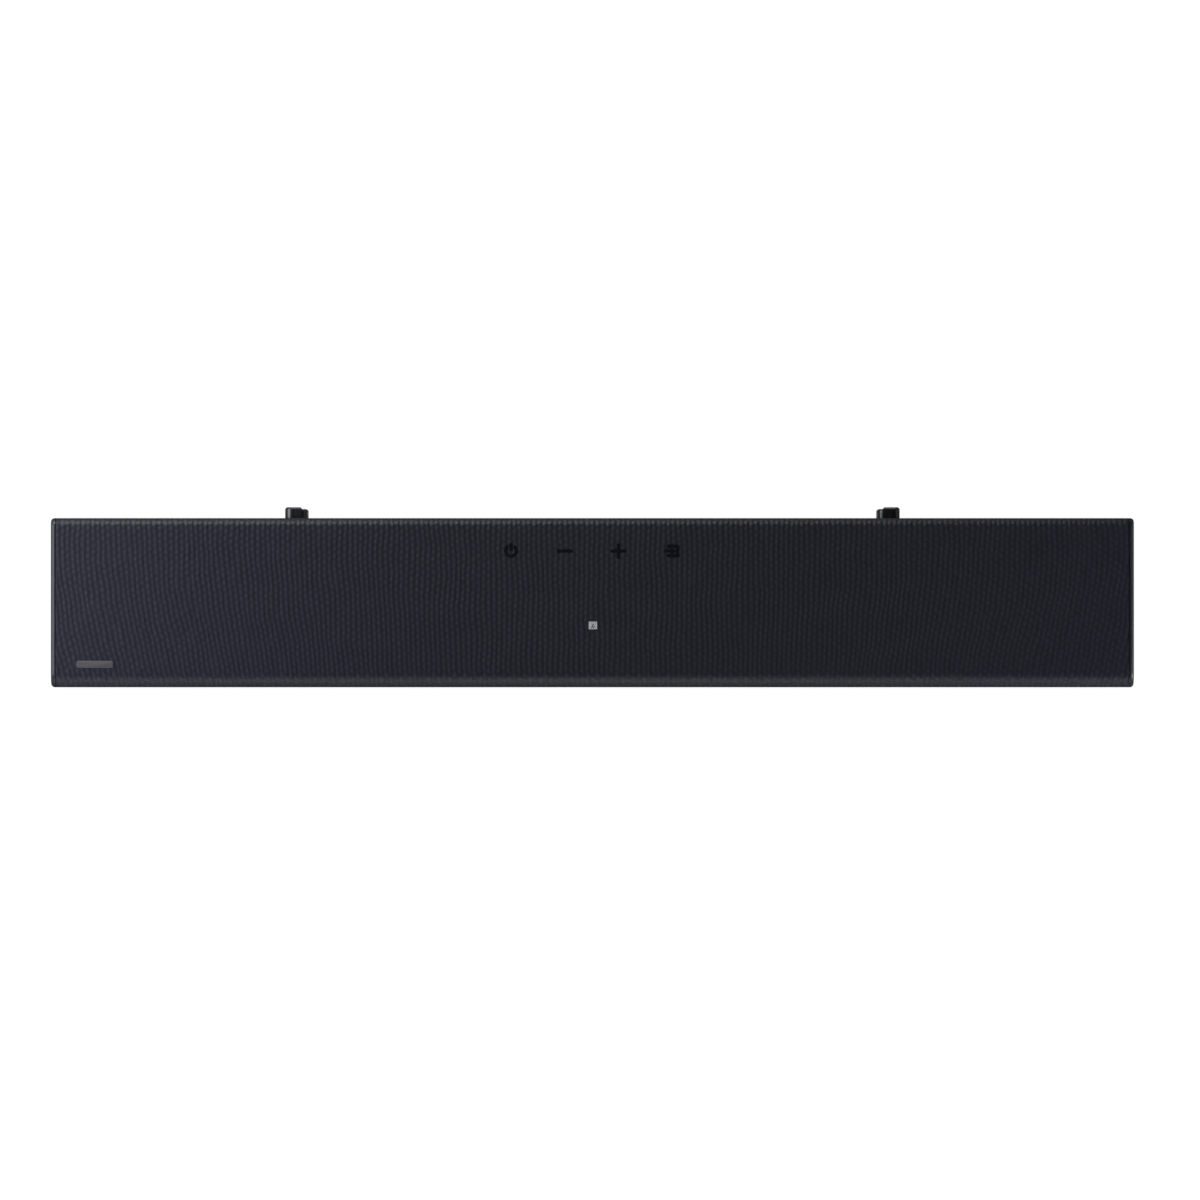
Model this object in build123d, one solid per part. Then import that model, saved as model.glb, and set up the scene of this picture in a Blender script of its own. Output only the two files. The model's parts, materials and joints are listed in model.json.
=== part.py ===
from build123d import *
import math
import os

# A compact two-channel soundbar: a cabinet on rubber feet, cloth over its top and front, keys in the
# top near the rear edge, and two hangers on the rear. X is the width, -Y the front, +Z up. The origin
# is on the surface that the feet stand on, at the centre of the footprint with the hangers.

os.makedirs("parts", exist_ok=True)

# Overall size, mm
WIDTH = 641.0
CABINET_DEPTH = 100.2
HEIGHT = 65.0
FOOT_H = 3.0
HANGER_OUT = 6.5
FRONT_Y = -(CABINET_DEPTH + HANGER_OUT) / 2
REAR_Y = FRONT_Y + CABINET_DEPTH
BASE_Z = FOOT_H
TOP_Z = HEIGHT

# Shells
TOP_REAR_R = 4.5
TOP_FRONT_R = 9.0
BOTTOM_R = 4.0
CLOTH_T = 0.8
FRAME_T = 2.0
WALL = 2.5
CAP_T = 2.7
CAP_RIM_R = 2.2
CAP_SPIGOT_INSET = 3.1
CAP_SPIGOT_T = 1.6
CAP_SPIGOT_LENGTH = 8.0
LIP_Z = 8.0
REAR_WALL_TOP = 57.5
SHELL_LENGTH = WIDTH - 2 * CAP_T
FRAME_TOP = TOP_Z - CLOTH_T
FRAME_UNDER = FRAME_TOP - FRAME_T
FLOOR_TOP = BASE_Z + WALL
REAR_INNER_Y = REAR_Y - WALL

# Grille slots in front of the drivers
SLOT_W = 2.5
SLOT_H = 40.0
SLOT_PITCH = 5.0
SLOT_FIRST_X = 165.0
SLOT_COUNT = 28

# Keys, each a post under the cloth with a raised symbol that stands through it
KEY_PITCH = 31.75
KEY_ROW_X = -0.5
KEY_Y = REAR_Y - 19.5
KEY_POST_R = 5.2
KEY_HOLE_R = 5.5
KEY_FLANGE_R = 6.4
KEY_FLANGE_T = 1.0
KEY_STEM_R = 1.6
KEY_TRAVEL = 0.5
KEY_REST_GAP = 0.1
SYMBOL_PROUD = 0.3
SYMBOL_STROKE = 1.2
SYMBOL_GAP = 0.3

# Key board, switches, lamp and receiver
PCB_T = 1.6
KEY_BOARD_TOP = 56.0
SWITCH_SIDE = 6.2
SWITCH_H = 3.4
SWITCH_BORE_R = 1.9
SWITCH_FLOOR = 0.8
LAMP_X = 0.3
LAMP_Y = REAR_Y - 63.5
LAMP_W = 5.0
LAMP_D = 4.6
RECEIVER_X = 12.0

# Main board and the bay for plugs in the rear wall
BOARD_HALF_X = 75.0
BOARD_FRONT_Y = -30.0
BOARD_REAR_Y = 26.0
BOARD_TOP = 15.0
BAY_HALF_X = 62.0
BAY_LOW_Z = 12.0
BAY_HIGH_Z = 42.0
BAY_FLOOR_Y = 28.75
BAY_WALL = 2.0
SOCKET_FACE_Y = BAY_FLOOR_Y - 0.05
SOCKET_FIT = 0.2

# Drivers, on a baffle behind the grille
BAFFLE_Y = -45.5
BAFFLE_T = 3.0
BAFFLE_HALF_X = 309.0
BAFFLE_LOW_Z = FLOOR_TOP + 0.1
BAFFLE_HIGH_Z = 61.5
DRIVER_Z = 33.85
WOOFER_X = 205.0
TWEETER_X = 262.0
WOOFER_HOLE_R = 24.0
WOOFER_FLANGE = 54.0
WOOFER_SCREW = 22.3
TWEETER_HOLE_R = 14.2
TWEETER_FLANGE_W = 42.0
TWEETER_FLANGE_H = 32.0
TWEETER_SCREW = 17.4
DRIVER_FLANGE_T = 1.8
BOX_INNER_X = 150.0
BOX_OUTER_X = 292.0
BOX_LOW_Z = 8.0
BOX_HIGH_Z = 60.5
BOX_REAR_Y = 34.0
BOX_WALL = 2.0
WIRE_R = 1.3
WIRE_HOLE_R = 4.5
WIRE_HOLE_Z = 35.5

# Hangers on the rear wall
HANGER_X = 175.6
HANGER_W = 13.0
HANGER_LOW_Z = 9.0
HANGER_HIGH_Z = 56.0
HANGER_PLATE_OUT = 5.4
HANGER_PLATE_T = 1.8
HANGER_TOP_R = 4.5
LUG_W = 10.0
LUG_LOW_Z = 44.0
KEYHOLE_Z = 22.0
KEYHOLE_R = 4.2
KEYHOLE_SLOT_R = 2.2
KEYHOLE_TOP_Z = 31.0
HANGER_SCREW_Z = (13.5, 39.0)

# Screws that hold the case together, as (x, y) on each side
REAR_SCREWS_X = (80.0, 290.0)
REAR_SCREW_Y = 41.0
FRONT_SCREWS_X = (100.0, 301.0)
FRONT_SCREW_Y = -38.5
SCREW_R = 1.5
PILOT_R = 1.55
SCREW_HEAD_R = 2.7
SCREW_HEAD_T = 1.6
SCREW_CUP_R = 4.0
SCREW_CUP_TOP = 8.0
SCREW_SEAT_Z = 6.0
SCREW_TIP_Z = 17.0
BOSS_R = 3.5
BOSS_TOP = 20.0

# Sockets on the main board's rear edge
JACK_X = -42.0
JACK_Z = BOARD_TOP + 5.5
JACK_NOSE_R = 5.0
JACK_BORE_R = 3.2
LINK_X = -14.0
LINK_W = 15.2
LINK_H = 6.2
AUX_X = 14.0
AUX_Z = BOARD_TOP + 4.2
AUX_NOSE_R = 3.8
AUX_BORE_R = 1.8
AUX_BORE_LENGTH = 14.0
USB_X = 40.0
USB_W = 14.4
USB_H = 7.0
CHIP_T = 2.0

FEET_X = 250.0
FEET_Y = (-38.0, 34.0)


def save(node, *shapes):
    """Writes one node: a single solid, or a group of separate ones."""
    solids = [solid for shape in shapes for solid in shape.solids()]
    whole = solids[0] if len(solids) == 1 else Compound(children=solids)
    export_step(whole, f"parts/{node}.step")


def block(low, high):
    """A box between two corners."""
    size = [b - a for a, b in zip(low, high)]
    centre = [(a + b) / 2 for a, b in zip(low, high)]
    return Pos(*centre) * Box(*size)


def along_y(x, z, radius, y_low, y_high):
    """A round bar along Y."""
    return Location((x, y_low, z), (-90, 0, 0)) * extrude(Circle(radius), y_high - y_low)


def upright(x, y, radius, z_low, z_high):
    """A round bar along Z."""
    return Pos(x, y, z_low) * extrude(Circle(radius), z_high - z_low)


def both_sides(xs):
    """Each distance from the middle, on the left and on the right."""
    return [side * x for x in xs for side in (-1, 1)]


def turned(*points):
    """A solid of revolution about Z, from an outline of (radius, height) points."""
    return revolve(Plane.XZ * make_face(Polyline(*points, close=True)), Axis.Z)


def between_paths(outer_points, outer_radii, inner_points, inner_radii, length):
    """A folded sheet, centred along X, between two rounded paths of (y, z) points."""
    outer = FilletPolyline(*outer_points, radius=outer_radii)
    inner = FilletPolyline(*inner_points, radius=inner_radii)
    ends = Line(outer @ 0, inner @ 0) + Line(outer @ 1, inner @ 1)
    section = make_face(outer + inner + ends)
    return extrude(Plane.YZ * section, amount=length / 2, both=True)


# ---------------------------------------------------------------- shells


def top_path(inset):
    """The line from the rear wall's top edge over the top and down the front, inset from the outside."""
    points = [
        (REAR_Y - inset, REAR_WALL_TOP),
        (REAR_Y - inset, TOP_Z - inset),
        (FRONT_Y + inset, TOP_Z - inset),
        (FRONT_Y + inset, LIP_Z),
    ]
    return points, [TOP_REAR_R - inset, TOP_FRONT_R - inset]


def top_shell(outer_inset, inner_inset):
    return between_paths(*top_path(outer_inset), *top_path(inner_inset), SHELL_LENGTH)


def key_positions():
    return [KEY_ROW_X + (i - 1.5) * KEY_PITCH for i in range(4)]


def grille_fabric():
    """The cloth: one skin over the top and front, with a cut-out round each key symbol."""
    cloth = top_shell(0, CLOTH_T)
    for x, symbol in zip(key_positions(), (power_symbol, minus_symbol, plus_symbol, source_symbol)):
        cloth -= Pos(x, KEY_Y, FRAME_TOP - 1) * extrude(symbol(SYMBOL_GAP), CLOTH_T + 2)
    return cloth


def grille_frame():
    """The stiff frame under the cloth, with slots in front of the drivers and holes for the keys and lamp."""
    frame = top_shell(CLOTH_T, CLOTH_T + FRAME_T)
    slot = Box(SLOT_W, 3 * FRAME_T, SLOT_H)
    places = both_sides(SLOT_FIRST_X + i * SLOT_PITCH for i in range(SLOT_COUNT))
    frame -= [Pos(x, FRONT_Y + CLOTH_T + FRAME_T / 2, DRIVER_Z) * slot for x in places]
    frame -= [upright(x, KEY_Y, KEY_HOLE_R, FRAME_UNDER - 1, FRAME_TOP + 1) for x in key_positions()]
    frame -= Pos(LAMP_X, LAMP_Y, FRAME_TOP) * Box(LAMP_W + 0.2, LAMP_D + 0.2, 3 * FRAME_T)
    frame -= upright(RECEIVER_X, LAMP_Y, 2.5, FRAME_UNDER - 1, FRAME_TOP + 1)
    for x, y in key_board_screw_places():
        boss = upright(x, y, 3.0, KEY_BOARD_TOP, FRAME_UNDER + 0.5)
        frame += boss
        frame -= upright(x, y, 1.3, KEY_BOARD_TOP - 1, FRAME_UNDER)
    return frame


def bottom_cover():
    """The floor tray with rounded lips, standoffs for the board, vents and screw cups."""
    outer = [(FRONT_Y, LIP_Z), (FRONT_Y, BASE_Z), (REAR_Y, BASE_Z), (REAR_Y, LIP_Z)]
    inner = [
        (FRONT_Y + WALL, LIP_Z),
        (FRONT_Y + WALL, FLOOR_TOP),
        (REAR_INNER_Y, FLOOR_TOP),
        (REAR_INNER_Y, LIP_Z),
    ]
    tray = between_paths(outer, [BOTTOM_R] * 2, inner, [BOTTOM_R - WALL] * 2, SHELL_LENGTH)
    for x, y in case_screw_places():
        tray += upright(x, y, SCREW_CUP_R, FLOOR_TOP - 0.5, SCREW_CUP_TOP)
        tray -= upright(x, y, SCREW_HEAD_R + 0.2, BASE_Z - 1, SCREW_SEAT_Z)
        tray -= upright(x, y, SCREW_R + 0.15, BASE_Z, SCREW_CUP_TOP + 1)
    for x, y in main_board_screw_places():
        tray += upright(x, y, 3.2, FLOOR_TOP - 0.5, BOARD_TOP - PCB_T)
        tray -= upright(x, y, 1.3, FLOOR_TOP, BOARD_TOP)
    vents = [Pos(x, -5, BASE_Z + WALL / 2) * Box(2.0, 26, 3 * WALL) for x in range(-33, 34, 6)]
    return tray - vents


def end_cap(side):
    """A thin moulded cap with a rounded rim, and a spigot that plugs into the shells."""

    def outline(inset):
        """The cabinet's section in (y, z), inset all round."""
        corners = [
            (FRONT_Y + inset, BASE_Z + inset),
            (FRONT_Y + inset, TOP_Z - inset),
            (REAR_Y - inset, TOP_Z - inset),
            (REAR_Y - inset, BASE_Z + inset),
        ]
        radii = [max(r - inset, 0.9) for r in (BOTTOM_R, TOP_FRONT_R, TOP_REAR_R, BOTTOM_R)]
        return make_face(FilletPolyline(*corners, radius=radii, close=True))

    plate = Pos(SHELL_LENGTH / 2, 0, 0) * extrude(Plane.YZ * outline(0), CAP_T)
    rim = plate.faces().sort_by(Axis.X)[-1].edges()
    cap = fillet(rim, CAP_RIM_R)
    ring = outline(CAP_SPIGOT_INSET) - outline(CAP_SPIGOT_INSET + CAP_SPIGOT_T)
    cap += Pos(SHELL_LENGTH / 2 - CAP_SPIGOT_LENGTH, 0, 0) * extrude(Plane.YZ * ring, CAP_SPIGOT_LENGTH + 0.5)
    return cap if side > 0 else mirror(cap, Plane.YZ)


def rear_housing():
    """The rear wall, with a bay for the plugs, cooling vents, and bosses for the case and hanger screws."""
    half = SHELL_LENGTH / 2
    wall = block((-half, REAR_INNER_Y, LIP_Z), (half, REAR_Y, REAR_WALL_TOP))
    wall += block(
        (-BAY_HALF_X - BAY_WALL, BAY_FLOOR_Y - BAY_WALL, BAY_LOW_Z - BAY_WALL),
        (BAY_HALF_X + BAY_WALL, REAR_INNER_Y + 0.5, BAY_HIGH_Z + BAY_WALL),
    )
    wall -= block((-BAY_HALF_X, BAY_FLOOR_Y, BAY_LOW_Z), (BAY_HALF_X, REAR_Y + 1, BAY_HIGH_Z))
    for x, y in case_screw_places():
        if y > 0:
            wall += upright(x, y, BOSS_R, SCREW_CUP_TOP + 0.1, BOSS_TOP)
            wall -= upright(x, y, PILOT_R, SCREW_CUP_TOP - 1, SCREW_TIP_Z + 1)
    for x in both_sides([HANGER_X]):
        for z in HANGER_SCREW_Z:
            wall += along_y(x, z, BOSS_R, REAR_INNER_Y - 5, REAR_INNER_Y + 0.5)
            wall -= along_y(x, z, PILOT_R, REAR_INNER_Y - 6, REAR_Y + 1)
    vent = Box(2.0, 3 * WALL, 8.0)
    wall -= [Pos(x, REAR_Y - WALL / 2, 51.0) * vent for x in range(-56, 57, 4)]
    wall -= along_y(JACK_X, JACK_Z, JACK_NOSE_R + SOCKET_FIT, BAY_FLOOR_Y - 3, BAY_FLOOR_Y + 1)
    wall -= along_y(AUX_X, AUX_Z, AUX_NOSE_R + SOCKET_FIT, BAY_FLOOR_Y - 3, BAY_FLOOR_Y + 1)
    for x, width, height in ((LINK_X, LINK_W, LINK_H), (USB_X, USB_W, USB_H)):
        wall -= block(
            (x - width / 2 - SOCKET_FIT, BAY_FLOOR_Y - 3, BOARD_TOP - 0.1),
            (x + width / 2 + SOCKET_FIT, BAY_FLOOR_Y + 1, BOARD_TOP + height + SOCKET_FIT),
        )
    return wall


def hanger_slab(width, low, out, rounded, bevel):
    """A slab from the hanger's outer edge, with one or two top corners rounded and its back bevelled."""
    left = -HANGER_W / 2
    outline = Pos(left + width / 2, (low + HANGER_HIGH_Z) / 2) * Rectangle(width, HANGER_HIGH_Z - low)
    top_corners = outline.vertices().group_by(Axis.Y)[-1].sort_by(Axis.X)
    outline = fillet(top_corners[:rounded], HANGER_TOP_R)
    slab = Pos(0, REAR_Y, 0) * extrude(Plane.XZ * outline, amount=-out)
    return chamfer(slab.faces().sort_by(Axis.Y)[-1].edges(), bevel)


def hanger(side):
    """A wall hanger: a keyhole plate stood off the rear wall, with a higher lug at its top outer corner."""
    back = REAR_Y
    body = hanger_slab(HANGER_W, HANGER_LOW_Z, HANGER_PLATE_OUT, 2, 0.8)
    body += hanger_slab(LUG_W, LUG_LOW_Z, HANGER_OUT, 1, 1.0)
    cavity_top = KEYHOLE_TOP_Z + KEYHOLE_R + 0.3
    body -= block(
        (-KEYHOLE_R - 0.3, back - 1, KEYHOLE_Z - KEYHOLE_R - 0.3),
        (KEYHOLE_R + 0.3, back + HANGER_PLATE_OUT - HANGER_PLATE_T, cavity_top),
    )
    body -= along_y(0, KEYHOLE_Z, KEYHOLE_R, back, back + 10)
    body -= along_y(0, KEYHOLE_TOP_Z, KEYHOLE_SLOT_R, back, back + 10)
    body -= block((-KEYHOLE_SLOT_R, back, KEYHOLE_Z), (KEYHOLE_SLOT_R, back + 10, KEYHOLE_TOP_Z))
    for z in HANGER_SCREW_Z:
        body -= along_y(0, z, SCREW_R + 0.15, back - 1, back + 10)
        body -= along_y(0, z, SCREW_HEAD_R + 0.2, back + HANGER_PLATE_OUT - 2.0, back + 10)
    body = Pos(-HANGER_X, 0, 0) * body
    return body if side < 0 else mirror(body, Plane.YZ)


def rubber_feet():
    foot = extrude(RectangleRounded(26, 10, 4.9), FOOT_H)
    foot = chamfer(foot.faces().sort_by(Axis.Z)[0].edges(), 0.6)
    return [Pos(x, y, 0) * foot for x in both_sides([FEET_X]) for y in FEET_Y]


# ---------------------------------------------------------------- screws


def case_screw_places():
    rear = [(x, REAR_SCREW_Y) for x in both_sides(REAR_SCREWS_X)]
    return rear + [(x, FRONT_SCREW_Y) for x in both_sides(FRONT_SCREWS_X)]


def main_board_screw_places():
    return [(x, y) for x in (-69, 69) for y in (-24, 16)]


def key_board_screw_places():
    return [(-66, KEY_Y), (66, KEY_Y), (-9, LAMP_Y)]


def screw(length, head_r=SCREW_HEAD_R, shank_r=SCREW_R, head_t=SCREW_HEAD_T):
    """A pan-head screw pointing up, its head under z = 0, with a cross recess in the head."""
    head = Pos(0, 0, -head_t) * extrude(Circle(head_r), head_t)
    head = chamfer(head.faces().sort_by(Axis.Z)[0].edges(), 0.4)
    recess = Rectangle(0.6, 1.3 * head_r) + Rectangle(1.3 * head_r, 0.6)
    return head + extrude(Circle(shank_r), length) - Pos(0, 0, -head_t) * extrude(recess, 0.8)


def case_screws():
    return [Pos(x, y, SCREW_SEAT_Z) * screw(SCREW_TIP_Z - SCREW_SEAT_Z) for x, y in case_screw_places()]


def hanger_screws():
    seat = REAR_Y + HANGER_PLATE_OUT - 2.0
    return [
        Location((x, seat, z), (90, 0, 0)) * screw(seat - REAR_INNER_Y + 4)
        for x in both_sides([HANGER_X])
        for z in HANGER_SCREW_Z
    ]


def driver_screws():
    """Four in each woofer's flange and two in each tweeter's, pointing rearwards."""
    short = screw(4.4, 2.3, 1.2, 1.3)
    corners = [(WOOFER_X + i * WOOFER_SCREW, j * WOOFER_SCREW) for i in (-1, 1) for j in (-1, 1)]
    corners += [(TWEETER_X + i * TWEETER_SCREW, 0) for i in (-1, 1)]
    flange_front = BAFFLE_Y - DRIVER_FLANGE_T
    return [
        Location((side * x, flange_front, DRIVER_Z + z), (-90, 0, 0)) * short
        for side in (-1, 1)
        for x, z in corners
    ]


def board_screws():
    down = Rotation(180, 0, 0) * screw(8, 2.7, 1.25)
    up = screw(5, 2.4, 1.25)
    lower = [Pos(x, y, BOARD_TOP) * down for x, y in main_board_screw_places()]
    return lower + [Pos(x, y, KEY_BOARD_TOP - PCB_T) * up for x, y in key_board_screw_places()]


# ---------------------------------------------------------------- keys


def minus_symbol(grow):
    return Rectangle(8.8 + 2 * grow, SYMBOL_STROKE + 2 * grow)


def plus_symbol(grow):
    bar = 8.2 + 2 * grow
    return Rectangle(bar, SYMBOL_STROKE + 2 * grow) + Rectangle(SYMBOL_STROKE + 2 * grow, bar)


def power_symbol(grow):
    """An open ring with a bar through its gap."""
    gap_half = 1.9 - grow
    ring = Circle(3.7 + grow) - Circle(3.7 - SYMBOL_STROKE - grow)
    ring -= Pos(0, 4) * Rectangle(2 * gap_half, 8)
    return ring + Pos(0, 2.3) * Rectangle(SYMBOL_STROKE + 2 * grow, 3.8 + 2 * grow)


def source_symbol(grow):
    """A square frame, open on the left, with an arrow pointing into it."""
    stroke = SYMBOL_STROKE + 2 * grow
    outer = Pos(0.7, 0) * Rectangle(6.4 + 2 * grow, 6.8 + 2 * grow)
    inner = Pos(0.7, 0) * Rectangle(6.4 - 2 * SYMBOL_STROKE - 2 * grow, 6.8 - 2 * SYMBOL_STROKE - 2 * grow)
    frame = outer - inner - Pos(-2.5, 0) * Rectangle(3.0, 4.2 - 2 * grow)
    shaft = Pos(-1.7, 0) * Rectangle(4.6 + 2 * grow, stroke)
    tip = make_face(
        Polyline((0.0, 1.4 + grow), (1.9 + 1.4 * grow, 0), (0.0, -1.4 - grow), (0.0 - grow, 0), close=True)
    )
    return frame + shaft + tip


def key(x, symbol):
    """A key: a stem into its switch, a flange under the frame, a post, and the raised symbol."""
    flange_top = FRAME_UNDER - KEY_REST_GAP
    flange_low = flange_top - KEY_FLANGE_T
    stem_low = KEY_BOARD_TOP + SWITCH_FLOOR + KEY_TRAVEL + 1.0
    post_top = FRAME_TOP - KEY_REST_GAP
    body = upright(x, KEY_Y, KEY_FLANGE_R, flange_low, flange_top)
    body += upright(x, KEY_Y, KEY_POST_R, flange_top, post_top)
    body += upright(x, KEY_Y, KEY_STEM_R, stem_low, flange_low)
    return body + Pos(x, KEY_Y, post_top) * extrude(symbol(0), TOP_Z + SYMBOL_PROUD - post_top)


def key_board():
    """The strip under the keys, with a tongue forward to the lamp and receiver."""
    low = KEY_BOARD_TOP - PCB_T
    board = block((-72, KEY_Y - 7, low), (72, KEY_Y + 7, KEY_BOARD_TOP))
    board += block((-13, LAMP_Y - 7, low), (19, KEY_Y - 6.9, KEY_BOARD_TOP))
    return board - [upright(x, y, 1.4, low - 1, KEY_BOARD_TOP + 1) for x, y in key_board_screw_places()]


def key_switches():
    body = extrude(RectangleRounded(SWITCH_SIDE, SWITCH_SIDE, 0.6), SWITCH_H)
    body -= upright(0, 0, SWITCH_BORE_R, SWITCH_FLOOR, SWITCH_H + 1)
    return [Pos(x, KEY_Y, KEY_BOARD_TOP) * body for x in key_positions()]


def status_led():
    lens = upright(LAMP_X, LAMP_Y, 1.2, KEY_BOARD_TOP + 0.9, KEY_BOARD_TOP + 1.3)
    base = block((LAMP_X - 1.7, LAMP_Y - 1.4, KEY_BOARD_TOP), (LAMP_X + 1.7, LAMP_Y + 1.4, KEY_BOARD_TOP + 1))
    return base + lens


def light_pipe():
    """A clear square rod from the lamp to the underside of the cloth, with a flange under the frame."""
    low = KEY_BOARD_TOP + 1.5
    rod = Pos(LAMP_X, LAMP_Y, low) * extrude(RectangleRounded(LAMP_W, LAMP_D, 0.3), FRAME_TOP - low)
    flange = extrude(RectangleRounded(LAMP_W + 2, LAMP_D + 2, 0.8), 1)
    return rod + Pos(LAMP_X, LAMP_Y, FRAME_UNDER - 1) * flange


def infrared_receiver():
    body = block(
        (RECEIVER_X - 3.2, LAMP_Y - 2.2, KEY_BOARD_TOP), (RECEIVER_X + 3.2, LAMP_Y + 2.2, KEY_BOARD_TOP + 3.2)
    )
    return body + Pos(RECEIVER_X, LAMP_Y, KEY_BOARD_TOP + 3.0) * Sphere(1.9)


# ---------------------------------------------------------------- electronics


def main_board():
    board = block((-BOARD_HALF_X, BOARD_FRONT_Y, BOARD_TOP - PCB_T), (BOARD_HALF_X, BOARD_REAR_Y, BOARD_TOP))
    return board - [upright(x, y, 1.4, 0, 30) for x, y in main_board_screw_places()]


def heat_sink():
    """A finned block on the amplifier chip."""
    low = BOARD_TOP + CHIP_T
    sink = block((-34, -24, low), (6, 2, low + 18))
    return sink - [block((x, -25, low + 4), (x + 2.6, 3, low + 19)) for x in range(-31, 4, 5)]


def circuit_chips():
    """The amplifier chip under the heat sink, the processor, the wireless module, and two wire connectors."""
    sizes = (
        (-14, -11, 14, 14, CHIP_T),
        (24, -16, 12, 12, 1.4),
        (50, 6, 18, 13, 2.2),
        (-69, -6, 8, 12, 6.0),
        (69, -6, 8, 12, 6.0),
    )
    return [
        block((x - w / 2, y - d / 2, BOARD_TOP), (x + w / 2, y + d / 2, BOARD_TOP + h))
        for x, y, w, d, h in sizes
    ]


def capacitors():
    places = ((-54, -18, 5.0, 16.0), (-54, 2, 5.0, 16.0), (-43, -10, 4.0, 12.0), (44, -14, 4.0, 12.0))
    cans = [upright(x, y, r, BOARD_TOP, BOARD_TOP + h) for x, y, r, h in places]
    return [chamfer(can.faces().sort_by(Axis.Z)[-1].edges(), 0.5) for can in cans]


def power_jack():
    """A round low-voltage inlet with a centre pin."""
    face = SOCKET_FACE_Y
    body = block((JACK_X - 4.8, face - 15, BOARD_TOP), (JACK_X + 4.8, BAY_FLOOR_Y - 2.1, BOARD_TOP + 11))
    body += along_y(JACK_X, JACK_Z, JACK_NOSE_R, BAY_FLOOR_Y - 2.5, face)
    body -= along_y(JACK_X, JACK_Z, JACK_BORE_R, face - 10, face + 1)
    return body + along_y(JACK_X, JACK_Z, 1.0, face - 11, face - 0.6)


def aux_socket():
    """A round 3.5 mm sound socket."""
    face = SOCKET_FACE_Y
    body = block((AUX_X - 4, face - 16, BOARD_TOP), (AUX_X + 4, BAY_FLOOR_Y - 2.1, BOARD_TOP + 8))
    body += along_y(AUX_X, AUX_Z, AUX_NOSE_R, BAY_FLOOR_Y - 2.5, face)
    return body - along_y(AUX_X, AUX_Z, AUX_BORE_R, face - AUX_BORE_LENGTH, face + 1)


def shell_socket(x, width, height, tongue_w, tongue_t, tongue_z):
    """A socket with a thin metal shell, open to the rear, and a contact tongue inside it."""
    face = SOCKET_FACE_Y
    wall = 0.6
    low, high = BOARD_TOP, BOARD_TOP + height
    body = block((x - width / 2, face - 14, low), (x + width / 2, face, high))
    inner = width / 2 - wall
    body -= block((x - inner, face - 11, low + wall), (x + inner, face + 1, high - wall))
    middle = (low + high) / 2 + tongue_z
    return body + block(
        (x - tongue_w / 2, face - 11.5, middle - tongue_t / 2),
        (x + tongue_w / 2, face - 2, middle + tongue_t / 2),
    )


def ribbon_cable():
    """The flat cable from the main board up to the key board."""
    half_width = 6
    points = ((16, BOARD_TOP), (16, 34), (24, 42), (24, KEY_BOARD_TOP - PCB_T))
    near = FilletPolyline(*points, radius=[8, 8])
    far = FilletPolyline(*[(y + 0.5, z) for y, z in points], radius=[8, 8])
    ends = Line(near @ 0, far @ 0) + Line(near @ 1, far @ 1)
    return extrude(Plane.YZ * make_face(near + far + ends), amount=half_width, both=True)


def wire(points):
    """A round wire through a few points, each bend as wide as its two runs allow."""
    route = [Vector(*p) for p in points]
    radii = []
    for a, b, c in zip(route, route[1:], route[2:]):
        turn = (b - a).get_angle(c - b)
        shorter = min((b - a).length, (c - b).length)
        radii.append(0.45 * shorter / math.tan(math.radians(turn / 2)))
    print("wire bend radii:", [round(r, 1) for r in radii])
    path = FilletPolyline(*route, radius=radii)
    return sweep(Plane(origin=path @ 0, z_dir=path % 0) * Circle(WIRE_R), path=path)


def speaker_wires():
    """Two wires each side, from the board's connector through the box's hole to the drivers' backs."""
    start_x, start_z = 73.4, BOARD_TOP + 3
    low, high = WIRE_HOLE_Z - 2, WIRE_HOLE_Z + 2
    to_woofer = [(start_x, -9, start_z), (100, -8, 20), (126, -2, 29)]
    to_woofer += [(150, 0, low), (172, -5, 34), (183, -20, 31)]
    to_tweeter = [(start_x, -3, start_z), (100, 2, 21), (126, 3, 32), (150, 2, high)]
    to_tweeter += [(184, 6, 41), (216, 2, 40), (238, -12, 37), (248, -28, 34)]
    wires = [wire(to_woofer), wire(to_tweeter)]
    return wires + [mirror(w, Plane.YZ) for w in wires]


# ---------------------------------------------------------------- baffle and drivers


def speaker_baffle():
    rear = BAFFLE_Y + BAFFLE_T
    panel = block((-BAFFLE_HALF_X, BAFFLE_Y, BAFFLE_LOW_Z), (BAFFLE_HALF_X, rear, BAFFLE_HIGH_Z))
    for x, y in case_screw_places():
        if y < 0:
            panel += block(
                (x - 4, BAFFLE_Y + 1, SCREW_CUP_TOP + 0.1), (x + 4, FRONT_SCREW_Y + 4, BOSS_TOP)
            )
            panel -= block((x - 4.3, BAFFLE_Y + 2, 0), (x + 4.3, BAFFLE_Y + 9, SCREW_CUP_TOP + 0.1))
            panel -= upright(x, y, PILOT_R, 0, SCREW_TIP_Z + 1)
    for side in (-1, 1):
        panel -= along_y(side * WOOFER_X, DRIVER_Z, WOOFER_HOLE_R, BAFFLE_Y - 1, BAFFLE_Y + 9)
        panel -= along_y(side * TWEETER_X, DRIVER_Z, TWEETER_HOLE_R, BAFFLE_Y - 1, BAFFLE_Y + 9)
        for x in (-1, 1):
            for z in (-1, 1):
                place = (side * WOOFER_X + x * WOOFER_SCREW, DRIVER_Z + z * WOOFER_SCREW)
                panel -= along_y(*place, 1.25, BAFFLE_Y - 1, BAFFLE_Y + 9)
            panel -= along_y(side * TWEETER_X + x * TWEETER_SCREW, DRIVER_Z, 1.25, BAFFLE_Y - 1, BAFFLE_Y + 9)
    return panel


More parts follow.
